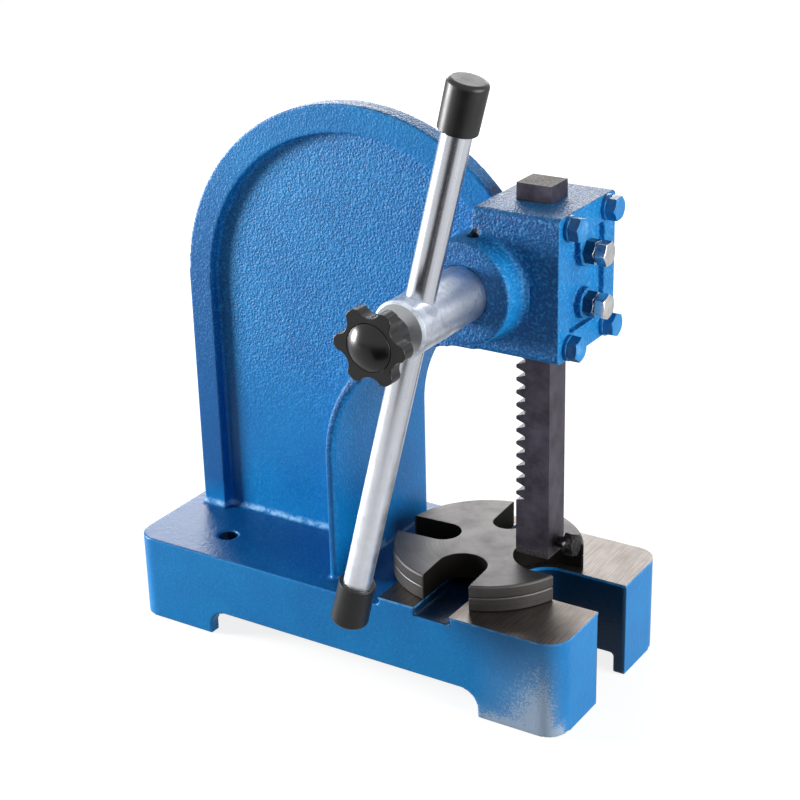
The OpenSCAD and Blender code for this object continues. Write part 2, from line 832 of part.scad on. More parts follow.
// open slot from the solid middle of the anvil plate outwards
module anvil_slot(angle, width) {
    rotate(angle) translate([anvil_hub_r + width / 2, 0, -join]) {
        cylinder(d = width, h = anvil_t + 2 * join);
        translate([0, -width / 2, 0]) cube([anvil_d, width, anvil_t + 2 * join]);
    }
}

// turned disc with a fine groove round its rim and four open slots
module anvil_plate() {
    r = anvil_d / 2;
    nip = anvil_chamfer / 2;
    mid = anvil_t / 2;
    color(steel) placed() translate([-anvil_back, 0, anvil_foot]) difference() {
        rotate_extrude($fn = 96) polygon([[0, 0], [r - nip, 0], [r, nip], [r, mid], [r - nip, mid + nip],
            [r, mid + 2 * nip], [r, anvil_t - anvil_chamfer], [r - anvil_chamfer, anvil_t], [0, anvil_t]]);
        anvil_slot(anvil_turn, slot_front_w);
        anvil_slot(anvil_turn + 90, slot_far_w);
        anvil_slot(anvil_turn + 180, slot_back_w);
        anvil_slot(anvil_turn + 270, slot_near_w);
        translate([0, 0, -join]) cylinder(r = pin_d / 2 + run_gap, h = pin_up + tip_gap + join);
    }
}

module anvil_pin() {
    low = base_h - base_skin;
    color(steel) placed() translate([-anvil_back, 0, low])
        cylinder(d = pin_d, h = anvil_foot + pin_up - low);
}

frame_casting();
front_cover();
cover_bolt(1);  // cover_bolt_1
cover_bolt(2);  // cover_bolt_2
cover_bolt(3);  // cover_bolt_3
cover_bolt(4);  // cover_bolt_4
cover_washer(1);  // cover_washer_1
cover_washer(2);  // cover_washer_2
cover_washer(3);  // cover_washer_3
cover_washer(4);  // cover_washer_4
adjuster_screw(1);  // adjuster_screw_1
adjuster_screw(2);  // adjuster_screw_2
adjuster_nut(1);  // adjuster_nut_1
adjuster_nut(2);  // adjuster_nut_2
ram();
tool_clamp_screw();
pinion_shaft();
shaft_washer();
shaft_screw();
handle_bar();
handle_cap_upper();
handle_cap_lower();
knob_star();
knob_dome();
knob_stud();
anvil_plate();
anvil_pin();
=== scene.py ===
import json
import math

import bmesh
import bpy
from mathutils import Matrix, Vector


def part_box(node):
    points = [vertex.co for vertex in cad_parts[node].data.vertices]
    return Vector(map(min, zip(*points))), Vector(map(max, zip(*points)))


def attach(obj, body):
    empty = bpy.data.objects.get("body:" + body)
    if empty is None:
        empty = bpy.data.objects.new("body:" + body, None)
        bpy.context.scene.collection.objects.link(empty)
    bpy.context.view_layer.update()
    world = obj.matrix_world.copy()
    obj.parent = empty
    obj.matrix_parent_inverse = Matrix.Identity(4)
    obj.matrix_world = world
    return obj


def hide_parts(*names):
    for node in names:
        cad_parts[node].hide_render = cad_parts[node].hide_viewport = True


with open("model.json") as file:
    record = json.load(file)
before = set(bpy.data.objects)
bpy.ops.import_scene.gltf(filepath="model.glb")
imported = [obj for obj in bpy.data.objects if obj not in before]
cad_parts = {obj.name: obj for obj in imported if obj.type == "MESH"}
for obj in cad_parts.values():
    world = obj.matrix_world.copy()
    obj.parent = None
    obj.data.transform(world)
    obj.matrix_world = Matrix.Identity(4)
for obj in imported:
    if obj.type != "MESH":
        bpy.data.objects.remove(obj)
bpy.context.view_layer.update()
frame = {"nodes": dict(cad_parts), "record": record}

MM = 0.001
nodes = frame["nodes"]
record = frame["record"]
body_of = {n: b for b, members in record["behaviour"]["bodies"].items() for n in members}


def corners(name):
    """Lowest and highest corner of a node, in metres."""
    low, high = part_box(name)
    return Vector(low), Vector(high)


def middle(name):
    """Middle of a node's box, in metres."""
    low, high = corners(name)
    return (low + high) / 2


# Places that the dressing is set out from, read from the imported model
ram_low, ram_high = corners("ram")
anvil_low, anvil_high = corners("anvil_plate")
stud_low, stud_high = corners("knob_stud")
clamp_low, clamp_high = corners("tool_clamp_screw")
casting_low, casting_high = corners("frame_casting")
cover_back = corners("front_cover")[0].x
head_side = corners("front_cover")[0].y
ram_mid = middle("ram")
pin_mid = middle("anvil_pin")
bar_mid = middle("handle_bar")
clamp_mid = middle("tool_clamp_screw")
# the washer on the far end is centred on the axis of the shaft
shaft_mid = middle("shaft_washer")
bench_bolts = next(m for m in record["mounts"] if m["name"] == "bench_bolts")
bolt_x, bolt_y = bench_bolts["pos_m"][:2]
bolt_span = bench_bolts["dims"]["spacing_y_mm"] * MM

# Sizes that no box gives: the oil film under the anvil, the step from the base up to the bed, the face of
# the rim, the throat behind the ram, the boss and its oil hole, and the lean of the handle bar
OIL_FILM = 0.1 * MM
BED_RISE = 4.2 * MM
BED_Z = anvil_low.z - OIL_FILM
BASE_Z = BED_Z - BED_RISE
RIM_Y = ram_mid.y - 5 * MM
THROAT_X = ram_mid.x - 22 * MM
BOSS_R = 23.5 * MM
OIL_HOLE_OUT = 3 * MM
BAR_LEAN = math.radians(14.4)


# Materials

def linear(code):
    """Colour from an sRGB hex code, as linear values with alpha."""
    parts = [int(code[i:i + 2], 16) / 255 for i in (1, 3, 5)]
    return tuple(c / 12.92 if c <= 0.04045 else ((c + 0.055) / 1.055) ** 2.4 for c in parts) + (1.0,)


def per_mm(size):
    """Texture scale for a pattern whose features are size millimetres wide."""
    return 1 / (size * MM)


def put(tree, kind, ins=None, **settings):
    """Adds a node, sets it, and links or fills its inputs."""
    made = tree.nodes.new("ShaderNode" + kind)
    for key, value in settings.items():
        setattr(made, key, value)
    for key, value in (ins or {}).items():
        if isinstance(value, bpy.types.NodeSocket):
            tree.links.new(value, made.inputs[key])
        else:
            made.inputs[key].default_value = value
    return made


def finish_named(name, **constants):
    """New material with a plain shader whose constant values are set on its own sockets."""
    made = bpy.data.materials.new(name)
    made.use_nodes = True
    tree = made.node_tree
    tree.nodes.clear()
    shader = put(tree, "BsdfPrincipled", {k.replace("_", " "): v for k, v in constants.items()})
    put(tree, "OutputMaterial", {"Surface": shader.outputs[0]})
    return made, tree, shader


def dress(tree, shader, **looks):
    """Links the parts of a finish that vary over the surface to its shader."""
    for socket, output in looks.items():
        tree.links.new(output, shader.inputs[socket.replace("_", " ")])


# Blue enamel, one function for each thing that happened to the paint, and for the painted shade and painted
# highlight laid on it

def sand_grain(t, where):
    """Sand grains, each leaving a round pit, roughened by finer sand. They are drawn about 1.1 mm and
    0.6 mm wide, coarser than real sand, to show."""
    pit = put(t, "TexVoronoi", {"Vector": where, "Scale": per_mm(1.1)}, feature="SMOOTH_F1")
    fine = put(t, "TexNoise", {"Vector": where, "Scale": per_mm(0.6), "Detail": 2.0})
    return put(t, "Mix", {0: 0.4, 2: pit.outputs["Distance"], 3: fine.outputs["Fac"]}).outputs[0]


def sand_skin(t, axes, rim, sand):
    """How much sand shows: in full on the upper half of the casting, little on the lower half, which was
    fettled smooth, and less on the rim, which stood proud and was rubbed down."""
    fettled_to, rough_from = 85 * MM, 150 * MM
    skin = put(t, "MapRange", {"Value": axes["Z"], "From Min": fettled_to, "From Max": rough_from,
                               "To Min": 0.24 * sand, "To Max": sand}, interpolation_type="SMOOTHSTEP")
    dressed = put(t, "Math", {0: rim, 1: -0.55, 2: 1.0}, operation="MULTIPLY_ADD")
    return put(t, "Math", {0: skin.outputs[0], 1: dressed.outputs[0]}, operation="MULTIPLY").outputs[0]


def painted_shade_faces(t, axes, normal, rim):
    """Painted shade: darker on the faces in the throat, and on the faces that stand out on the handle side,
    where they lie in shade. It fades in above the base, and on the rim it stops short of the arch."""
    near_face = put(t, "MapRange", {"Value": normal["Y"], "From Min": -0.5, "From Max": -0.9})
    proud = put(t, "Math", {0: axes["Y"], 1: RIM_Y + 0.5 * MM}, operation="LESS_THAN")
    near = put(t, "Math", {0: near_face.outputs[0], 1: proud.outputs[0]}, operation="MULTIPLY")
    front_face = put(t, "MapRange", {"Value": normal["X"], "From Min": 0.3, "From Max": 0.8, "To Max": 0.5})
    behind = put(t, "Math", {0: axes["X"], 1: THROAT_X}, operation="LESS_THAN")
    throat = put(t, "Math", {0: front_face.outputs[0], 1: behind.outputs[0]}, operation="MULTIPLY")
    faces = put(t, "Math", {0: near.outputs[0], 1: throat.outputs[0]}, operation="MAXIMUM")
    above = put(t, "MapRange", {"Value": axes["Z"], "From Min": BASE_Z + 3 * MM,
                                "From Max": BASE_Z + 16 * MM, "To Max": 0.62})
    faces = put(t, "Math", {0: faces.outputs[0], 1: above.outputs[0]}, operation="MULTIPLY")
    arch_low, arch_high = 170 * MM, 240 * MM
    arch = put(t, "MapRange", {"Value": axes["Z"], "From Min": arch_low, "From Max": arch_high})
    arch = put(t, "Math", {0: arch.outputs[0], 1: rim}, operation="MULTIPLY")
    short = put(t, "Math", {0: 1.0, 1: arch.outputs[0]}, operation="SUBTRACT")
    return put(t, "Math", {0: faces.outputs[0], 1: short.outputs[0]}, operation="MULTIPLY").outputs[0]


def brushed_blue_and_painted_light(t, where, axes, rim, grain, skin):
    """Blue of the paint: cloudy from the brush, and darker as painted shade on the faces that look up, in
    the throat and on the faces that stand out on the handle side. The peaks of the sand are lighter as a
    painted highlight, and the hollows between them darker as painted shade."""
    cloud = put(t, "TexNoise", {"Vector": where, "Scale": per_mm(34), "Detail": 3.0})
    blue = put(t, "Mix", {0: cloud.outputs["Fac"], 6: linear("#0163a8"), 7: linear("#0786c8")},
               data_type="RGBA").outputs[2]
    normal = put(t, "SeparateXYZ", {0: put(t, "NewGeometry").outputs["Normal"]}).outputs
    # painted shade: faces that look up are darker
    painted_top_shade = put(t, "MapRange", {"Value": normal["Z"], "From Min": 0.6, "From Max": 0.95, "To Max": 0.66})
    # painted highlight on the peaks of the sand, and painted shade in the hollows between them
    painted_tip_highlight = put(t, "MapRange", {"Value": grain, "From Min": 0.48, "From Max": 0.62, "To Max": 0.42})
    painted_tip_highlight = put(t, "Math", {0: painted_tip_highlight.outputs[0], 1: skin}, operation="MULTIPLY")
    painted_pit_shade = put(t, "MapRange", {"Value": grain, "From Min": 0.42, "From Max": 0.24, "To Max": 0.6})
    painted_pit_shade = put(t, "Math", {0: painted_pit_shade.outputs[0], 1: skin}, operation="MULTIPLY")
    layers = ((painted_top_shade.outputs[0], "#013a6e"), (painted_shade_faces(t, axes, normal, rim), "#01397a"),
              (painted_tip_highlight.outputs[0], "#45a8e6"), (painted_pit_shade.outputs[0], "#014379"))
    for mask, tone in layers:
        blue = put(t, "Mix", {0: mask, 6: blue, 7: linear(tone)}, data_type="RGBA").outputs[2]
    return blue


def rubbed_corner(t, where, axes):
    """Where the paint is rubbed pale: on the near front corner and along its foot, as the press is dragged
    on the bench. The wear has frayed edges inside a thin veil."""
    # axis, start and full wear, in millimetres from the front end of the base or from the bench
    corner = (("X", -44, -9), ("X", 1, -7), ("Z", 56, 6))
    foot = (("X", -80, -20), ("Z", 13, 1))
    near = put(t, "MapRange", {"Value": axes["Y"], "From Min": casting_low.y + 12 * MM,
                               "From Max": casting_low.y + 4 * MM}, interpolation_type="SMOOTHSTEP")
    place = 0.0
    for spans in (corner, foot):
        patch = near.outputs[0]
        for axis, start, full in spans:
            zero = casting_high.x if axis == "X" else 0.0
            rise = put(t, "MapRange", {"Value": axes[axis], "From Min": zero + start * MM,
                                       "From Max": zero + full * MM})
            patch = put(t, "Math", {0: patch, 1: rise.outputs[0]}, operation="MULTIPLY").outputs[0]
        place = put(t, "Math", {0: place, 1: patch}, operation="MAXIMUM").outputs[0]
    fray = put(t, "TexNoise", {"Vector": where, "Scale": per_mm(0.8), "Detail": 4.0, "Roughness": 0.72})
    eaten = put(t, "Math", {0: place, 1: 0.66, 2: fray.outputs["Fac"]}, operation="MULTIPLY_ADD")
    bare = put(t, "MapRange", {"Value": eaten.outputs[0], "From Min": 0.72, "From Max": 1.0,
                               "To Max": 0.8}, interpolation_type="SMOOTHSTEP")
    veil = put(t, "Math", {0: place, 1: 0.34}, operation="MULTIPLY")
    return put(t, "Math", {0: bare.outputs[0], 1: veil.outputs[0]}, operation="MAXIMUM").outputs[0]


def foot_bead(t, axes, ragged):
    """Where a pale, ragged bead of paint stands, at the foot of the sunk panel."""
    broken = put(t, "MapRange", {"Value": ragged, "From Min": 0.40, "From Max": 0.62})
    bead = broken.outputs[0]
    spans = (("Z", BASE_Z + 4.2 * MM, BASE_Z + 2.0 * MM, "SMOOTHSTEP"),
             ("Z", BASE_Z + 0.15 * MM, BASE_Z + 1.2 * MM, "SMOOTHSTEP"),
             ("Y", RIM_Y - 4 * MM, RIM_Y, "LINEAR"),
             ("Y", RIM_Y + 6.5 * MM, RIM_Y + 5.5 * MM, "LINEAR"))
    for axis, start, full, blend in spans:
        rise = put(t, "MapRange", {"Value": axes[axis], "From Min": start, "From Max": full},
                   interpolation_type=blend)
        bead = put(t, "Math", {0: bead, 1: rise.outputs[0]}, operation="MULTIPLY").outputs[0]
    return bead


def painted_shade_in_hollows(t, where, axes):
    """Painted shade: darker down in the front slot, in the cross groove, in the oil hole and in the bench
    bolt holes, where shade falls."""
    slot_half, groove_half, hole_r, oil_r = 15.2 * MM, 10 * MM, 6.0 * MM, 2.94 * MM
    slot_y = put(t, "Math", {0: axes["Y"], 1: ram_mid.y, 2: slot_half}, operation="COMPARE")
    slot_x = put(t, "MapRange", {"Value": axes["X"], "From Min": pin_mid.x + 8 * MM,
                                 "From Max": pin_mid.x + 14 * MM})
    slot = put(t, "Math", {0: slot_y.outputs[0], 1: slot_x.outputs[0]}, operation="MULTIPLY")
    slot_z = put(t, "Math", {0: axes["Z"], 1: BED_Z - 1.5 * MM}, operation="LESS_THAN")
    groove = put(t, "Math", {0: axes["X"], 1: pin_mid.x, 2: groove_half}, operation="COMPARE")
    groove_z = put(t, "Math", {0: axes["Z"], 1: BED_Z - 2.4 * MM, 2: 2.2 * MM}, operation="COMPARE")
    oil_mid, oil_reach = shaft_mid.z + BOSS_R - 4.6 * MM, 6.8 * MM
    oil_z = put(t, "Math", {0: axes["Z"], 1: oil_mid, 2: oil_reach}, operation="COMPARE")
    hole_z = put(t, "Math", {0: axes["Z"], 1: BASE_Z - 0.8 * MM}, operation="LESS_THAN")
    insides = [(slot, slot_z), (groove, groove_z)]
    plan = put(t, "VectorMath", {0: where, 1: (1, 1, 0)}, operation="MULTIPLY")
    holes = ((shaft_mid.x, head_side - OIL_HOLE_OUT, oil_r, oil_z),
             (bolt_x, bolt_y - bolt_span / 2, hole_r, hole_z),
             (bolt_x, bolt_y + bolt_span / 2, hole_r, hole_z))
    for x, y, radius, depth in holes:
        off = put(t, "VectorMath", {0: plan.outputs[0], 1: (x, y, 0.0)}, operation="DISTANCE")
        hole = put(t, "Math", {0: off.outputs["Value"], 1: radius}, operation="LESS_THAN")
        insides.append((hole, depth))
    dark = 0.0
    for across, depth in insides:
        inside = put(t, "Math", {0: across.outputs[0], 1: depth.outputs[0]}, operation="MULTIPLY")
        dark = put(t, "Math", {0: dark, 1: inside.outputs[0]}, operation="MAXIMUM").outputs[0]
    return put(t, "Math", {0: dark, 1: 0.88}, operation="MULTIPLY").outputs[0]


def edge_wear_and_highlight(t, ragged):
    """A paler, broken line along the outer edges: partly paint worn thin, partly a painted highlight where
    the edges catch the light.
    """
    outer = put(t, "MapRange", {"Value": put(t, "NewGeometry").outputs["Pointiness"], "From Min": 0.53,
                                "From Max": 0.60})
    broken = put(t, "MapRange", {"Value": ragged, "From Min": 0.36, "From Max": 0.62, "To Max": 0.6})
    return put(t, "Math", {0: outer.outputs[0], 1: broken.outputs[0]}, operation="MULTIPLY").outputs[0]


def blue_enamel(name, sand):
    """Gloss enamel brushed over sand-cast iron. The sand shows through as a pebbled skin that catches
    the light in specks. sand is 1 for the casting and near 0 for rolled metal."""
    made, t, shader = finish_named(name, IOR=1.5, Specular_IOR_Level=0.3)
    where = put(t, "TexCoord").outputs["Object"]
    axes = put(t, "SeparateXYZ", {0: where}).outputs
    rim = put(t, "Math", {0: axes["Y"], 1: RIM_Y, 2: 0.35 * MM}, operation="COMPARE").outputs[0]
    grain = sand_grain(t, where)
    skin = sand_skin(t, axes, rim, sand)
    colour = brushed_blue_and_painted_light(t, where, axes, rim, grain, skin)
    rubbed = rubbed_corner(t, where, axes)
    ragged = put(t, "TexNoise", {"Vector": where, "Scale": per_mm(4.2), "Detail": 4.0, "Roughness": 0.7})
    ragged = ragged.outputs["Fac"]
    # the hollows take painted shade, and the outer edges a painted highlight over worn paint
    layers = ((rubbed, "#aebccb"), (foot_bead(t, axes, ragged), "#8fc0e8"),
              (painted_shade_in_hollows(t, where, axes), "#081a2d"), (edge_wear_and_highlight(t, ragged), "#6fb2e6"))
    for mask, tone in layers:
        colour = put(t, "Mix", {0: mask, 6: colour, 7: linear(tone)}, data_type="RGBA").outputs[2]
    dull = put(t, "MapRange", {"Value": grain, "From Min": 0.2, "From Max": 0.6,
                               "To Min": 0.24, "To Max": 0.34})
    dull = put(t, "Math", {0: skin, 1: 0.16, 2: dull.outputs[0]}, operation="MULTIPLY_ADD")
    dull = put(t, "Math", {0: rubbed, 1: 0.35, 2: dull.outputs[0]}, operation="MULTIPLY_ADD")
    peel = put(t, "TexNoise", {"Vector": where, "Scale": per_mm(3.6), "Detail": 2.0})
    lumps = put(t, "Math", {0: peel.outputs["Fac"], 1: 0.22}, operation="MULTIPLY")
    height = put(t, "Math", {0: grain, 1: skin, 2: lumps.outputs[0]}, operation="MULTIPLY_ADD")
    bump = put(t, "Bump", {"Strength": 0.9, "Distance": 0.7 * MM, "Height": height.outputs[0]})
    dress(t, shader, Base_Color=colour, Roughness=dull.outputs[0], Normal=bump.outputs[0])
    return made


# Bare and plated metal, and plastic

def milled_iron():
    """Grey iron, fly-cut bare on the bed: fine crossing cutter marks and a brown film of oil. The marks are
    drawn about 0.5 mm wide, coarser than real ones, to show."""
    made, t, shader = finish_named("grey iron, fly-cut bed", Metallic=0.9)
    where = put(t, "TexCoord").outputs["Object"]
    marks = []
    for angle, wide in ((28, 0.5), (-52, 0.6)):
        turned = put(t, "Mapping", {"Vector": where, "Rotation": (0, 0, math.radians(angle)),
                                    "Scale": (per_mm(wide), per_mm(16), per_mm(16))})
        marks.append(put(t, "TexNoise", {"Vector": turned.outputs[0], "Scale": 1.0, "Detail": 2.0}))
    lines = put(t, "Math", {0: marks[0].outputs["Fac"], 1: marks[1].outputs["Fac"]}, operation="ADD")
    film = put(t, "TexNoise", {"Vector": where, "Scale": per_mm(17), "Detail": 5.0, "Roughness": 0.65})
    tone = put(t, "MapRange", {"Value": lines.outputs[0], "From Min": 0.75, "From Max": 1.25})
    bright = put(t, "Mix", {0: tone.outputs[0], 6: linear("#443e3b"), 7: linear("#655f5a")},
                 data_type="RGBA")
    oil = put(t, "MapRange", {"Value": film.outputs["Fac"], "From Min": 0.42, "From Max": 0.68,
                              "To Max": 0.6})
    colour = put(t, "Mix", {0: oil.outputs[0], 6: bright.outputs[2], 7: linear("#4b423a")},
                 data_type="RGBA")
    rough = put(t, "MapRange", {"Value": film.outputs["Fac"], "To Min": 0.26, "To Max": 0.46})
    bump = put(t, "Bump", {"Strength": 0.5, "Distance": 0.06 * MM, "Height": lines.outputs[0]})
    dress(t, shader, Base_Color=colour.outputs[2], Roughness=rough.outputs[0], Normal=bump.outputs[0])
    return made


def turned_iron():
    """Grey iron faced in a lathe: rings about the pin on top and round the rim, with the walls of the slots
    painted near black as painted shade. The rings are drawn 0.8 mm wide, coarser than real ones, to show."""
    made, t, shader = finish_named("grey iron, turned anvil", Metallic=0.92)
    where = put(t, "TexCoord").outputs["Object"]
    from_pin = put(t, "VectorMath", {0: where, 1: tuple(pin_mid)}, operation="SUBTRACT")
    axes = put(t, "SeparateXYZ", {0: from_pin.outputs[0]}).outputs
    plan = put(t, "CombineXYZ", {0: axes["X"], 1: axes["Y"]})
    radius = put(t, "VectorMath", {0: plan.outputs[0]}, operation="LENGTH").outputs["Value"]
    ring_place = put(t, "CombineXYZ", {0: radius, 1: axes["Z"]})
    rings = put(t, "TexNoise", {"Vector": ring_place.outputs[0], "Scale": per_mm(0.8), "Detail": 2.0})
    blot = put(t, "TexNoise", {"Vector": where, "Scale": per_mm(13), "Detail": 5.0, "Roughness": 0.62})
    ring_tone = put(t, "MapRange", {"Value": rings.outputs["Fac"], "From Min": 0.3, "From Max": 0.7})
    face = put(t, "Mix", {0: ring_tone.outputs[0], 6: linear("#474545"), 7: linear("#555352")},
               data_type="RGBA")
    stain = put(t, "MapRange", {"Value": blot.outputs["Fac"], "From Min": 0.45, "From Max": 0.72,
                                "To Max": 0.55})
    face = put(t, "Mix", {0: stain.outputs[0], 6: face.outputs[2], 7: linear("#3b3736")}, data_type="RGBA")
    normal = put(t, "SeparateXYZ", {0: put(t, "NewGeometry").outputs["Normal"]})
    upright = put(t, "Math", {0: normal.outputs["Z"]}, operation="ABSOLUTE")
    wall = put(t, "Math", {0: upright.outputs[0], 1: 0.35}, operation="LESS_THAN")
    rim_r = (anvil_high.y - anvil_low.y) / 2 - 0.4 * MM
    inside = put(t, "Math", {0: radius, 1: rim_r}, operation="LESS_THAN")
    slot_wall_painted_shade = put(t, "Math", {0: wall.outputs[0], 1: inside.outputs[0]}, operation="MULTIPLY")
    # painted shade: the slot walls inside the rim are near black
    colour = put(t, "Mix", {0: slot_wall_painted_shade.outputs[0], 6: face.outputs[2], 7: linear("#1b1917")},
                 data_type="RGBA")
    rough = put(t, "MapRange", {"Value": blot.outputs["Fac"], "To Min": 0.38, "To Max": 0.6})
    rough = put(t, "Math", {0: slot_wall_painted_shade.outputs[0], 1: 0.25, 2: rough.outputs[0]},
                operation="MULTIPLY_ADD")
    bump = put(t, "Bump", {"Strength": 0.22, "Distance": 0.04 * MM, "Height": rings.outputs["Fac"]})
    dress(t, shader, Base_Color=colour.outputs[2], Roughness=rough.outputs[0], Normal=bump.outputs[0])
    return made


def drawn_bar():
    """Bright drawn and chromed bar: long faint draw lines, and a hazier, paler lower half. The lines are
    drawn 0.7 mm wide, coarser than real ones, to show."""
    made, t, shader = finish_named("steel, drawn and chromed", Metallic=1.0)
    where = put(t, "TexCoord").outputs["Object"]
    from_bar = put(t, "VectorMath", {0: where, 1: tuple(bar_mid)}, operation="SUBTRACT")
    along = put(t, "VectorRotate", {"Vector": from_bar.outputs[0], "Angle": -BAR_LEAN,
                                    "Axis": (0, 1, 0)})
    stretched = put(t, "VectorMath", {0: along.outputs[0], 1: (per_mm(0.7), per_mm(0.7), per_mm(45))},
                    operation="MULTIPLY")
    draw = put(t, "TexNoise", {"Vector": stretched.outputs[0], "Scale": 1.0, "Detail": 3.0})
    haze = put(t, "TexNoise", {"Vector": where, "Scale": per_mm(5), "Detail": 4.0, "Roughness": 0.7})
    height = put(t, "SeparateXYZ", {0: where}).outputs["Z"]
    clear_from, hazy_to = 190 * MM, 120 * MM
    lower = put(t, "MapRange", {"Value": height, "From Min": clear_from, "From Max": hazy_to},
                interpolation_type="SMOOTHSTEP")
    tone = put(t, "Mix", {0: draw.outputs["Fac"], 6: linear("#c4c8d2"), 7: linear("#e4e7ee")},
               data_type="RGBA")
    pale = put(t, "Math", {0: lower.outputs[0], 1: haze.outputs["Fac"]}, operation="MULTIPLY")
    colour = put(t, "Mix", {0: pale.outputs[0], 6: tone.outputs[2], 7: linear("#eceff5")}, data_type="RGBA")
    rough = put(t, "MapRange", {"Value": draw.outputs["Fac"], "From Min": 0.3, "From Max": 0.7,
                                "To Min": 0.20, "To Max": 0.29})
    rough = put(t, "Math", {0: pale.outputs[0], 1: 0.3, 2: rough.outputs[0]}, operation="MULTIPLY_ADD")
    bump = put(t, "Bump", {"Strength": 0.2, "Distance": 0.03 * MM, "Height": draw.outputs["Fac"]})
    dress(t, shader, Base_Color=colour.outputs[2], Roughness=rough.outputs[0], Normal=bump.outputs[0])
    return made


def zinc(name, low, high, rough_low, rough_high, end_face):
    """Zinc plated steel: a mottled grey that scatters the light, between two tones and two roughnesses.
    With end_face, faces towards the handle are left dull, as sawn."""
    made, t, shader = finish_named(name, Metallic=1.0)
    where = put(t, "TexCoord").outputs["Object"]
    mottle = put(t, "TexNoise", {"Vector": where, "Scale": per_mm(6.5), "Detail": 5.0, "Roughness": 0.68})
    fine = put(t, "TexNoise", {"Vector": where, "Scale": per_mm(0.9), "Detail": 2.0})
    tone = put(t, "MapRange", {"Value": mottle.outputs["Fac"], "From Min": 0.34, "From Max": 0.66})
    colour = put(t, "Mix", {0: tone.outputs[0], 6: linear(low), 7: linear(high)}, data_type="RGBA")
    rough = put(t, "MapRange", {"Value": mottle.outputs["Fac"], "From Min": 0.3, "From Max": 0.7,
                                "To Min": rough_high, "To Max": rough_low})
    if end_face:
        normal = put(t, "SeparateXYZ", {0: put(t, "NewGeometry").outputs["Normal"]})
        end = put(t, "Math", {0: normal.outputs["Y"], 1: -0.85}, operation="LESS_THAN")
        colour = put(t, "Mix", {0: end.outputs[0], 6: colour.outputs[2], 7: linear("#a9abae")},
                     data_type="RGBA")
        rough = put(t, "Math", {0: end.outputs[0], 1: 0.3, 2: rough.outputs[0]}, operation="MULTIPLY_ADD")
    bump = put(t, "Bump", {"Strength": 0.25, "Distance": 0.04 * MM, "Height": fine.outputs["Fac"]})
    dress(t, shader, Base_Color=colour.outputs[2], Roughness=rough.outputs[0], Normal=bump.outputs[0])
    return made


def painted_nut():
    """Zinc nuts with blue overspray on the flats, bare on the faces that the spanner and the screw rub."""
    made, t, shader = finish_named("zinc plate with blue overspray", IOR=1.5)
    where = put(t, "TexCoord").outputs["Object"]
    spray = put(t, "TexNoise", {"Vector": where, "Scale": per_mm(2.2), "Detail": 4.0})
    normal = put(t, "SeparateXYZ", {0: put(t, "NewGeometry").outputs["Normal"]})
    front = put(t, "MapRange", {"Value": normal.outputs["X"], "From Min": 0.15, "From Max": 0.55})
    gone = put(t, "MapRange", {"Value": spray.outputs["Fac"], "From Min": 0.30, "From Max": 0.55})
    bare = put(t, "Math", {0: front.outputs[0], 1: gone.outputs[0]}, operation="MULTIPLY")
    colour = put(t, "Mix", {0: bare.outputs[0], 6: linear("#12385f"), 7: linear("#c9ccd0")},
                 data_type="RGBA")
    rough = put(t, "MapRange", {"Value": spray.outputs["Fac"], "To Min": 0.2, "To Max": 0.36})
    dress(t, shader, Base_Color=colour.outputs[2], Metallic=bare.outputs[0], Roughness=rough.outputs[0])
    return made


def blackened_ram():
    """Milled square bar, hot blackened: purple-black with faint cross mill marks, drawn 0.8 mm wide to
    show. The sawn top is bare, and the blacking is half worn off the foot."""
    made, t, shader = finish_named("steel, milled and blackened", Metallic=0.7)
    where = put(t, "TexCoord").outputs["Object"]
    height = put(t, "SeparateXYZ", {0: where}).outputs["Z"]
    across = put(t, "VectorMath", {0: where, 1: (per_mm(9), per_mm(9), per_mm(0.8))},
                 operation="MULTIPLY")
    mill = put(t, "TexNoise", {"Vector": across.outputs[0], "Scale": 1.0, "Detail": 2.0})
    blot = put(t, "TexNoise", {"Vector": where, "Scale": per_mm(9), "Detail": 4.0, "Roughness": 0.65})
    grit = put(t, "TexNoise", {"Vector": where, "Scale": per_mm(0.9), "Detail": 2.0})
    tone = put(t, "MapRange", {"Value": blot.outputs["Fac"], "From Min": 0.35, "From Max": 0.65})
    black = put(t, "Mix", {0: tone.outputs[0], 6: linear("#38343e"), 7: linear("#524d59")},
                data_type="RGBA")
    normal = put(t, "SeparateXYZ", {0: put(t, "NewGeometry").outputs["Normal"]})
    top = put(t, "MapRange", {"Value": normal.outputs["Z"], "From Min": 0.75, "From Max": 0.95})
    level = put(t, "Math", {0: height, 1: ram_high.z - 1 * MM}, operation="GREATER_THAN")
    sawn = put(t, "Math", {0: top.outputs[0], 1: level.outputs[0]}, operation="MULTIPLY")
    foot = put(t, "MapRange", {"Value": height, "From Min": ram_low.z + 4.2 * MM,
                               "From Max": ram_low.z + 3.2 * MM})
    foot = put(t, "Math", {0: foot.outputs[0], 1: 0.5}, operation="MULTIPLY")
    bare = put(t, "Math", {0: sawn.outputs[0], 1: foot.outputs[0]}, operation="MAXIMUM")
    speck = put(t, "MapRange", {"Value": grit.outputs["Fac"], "From Min": 0.42, "From Max": 0.60})
    sawn_tone = put(t, "Mix", {0: speck.outputs[0], 6: linear("#35312f"), 7: linear("#5c5753")},
                    data_type="RGBA")
    colour = put(t, "Mix", {0: bare.outputs[0], 6: black.outputs[2], 7: sawn_tone.outputs[2]},
                 data_type="RGBA")
    rough = put(t, "MapRange", {"Value": blot.outputs["Fac"], "To Min": 0.32, "To Max": 0.52})
    rough = put(t, "Math", {0: bare.outputs[0], 1: 0.25, 2: rough.outputs[0]}, operation="MULTIPLY_ADD")
    relief = put(t, "Math", {0: grit.outputs["Fac"], 1: bare.outputs[0], 2: mill.outputs["Fac"]},
                 operation="MULTIPLY_ADD")
    bump = put(t, "Bump", {"Strength": 0.4, "Distance": 0.05 * MM, "Height": relief.outputs[0]})
    dress(t, shader, Base_Color=colour.outputs[2], Roughness=rough.outputs[0], Normal=bump.outputs[0])
    return made


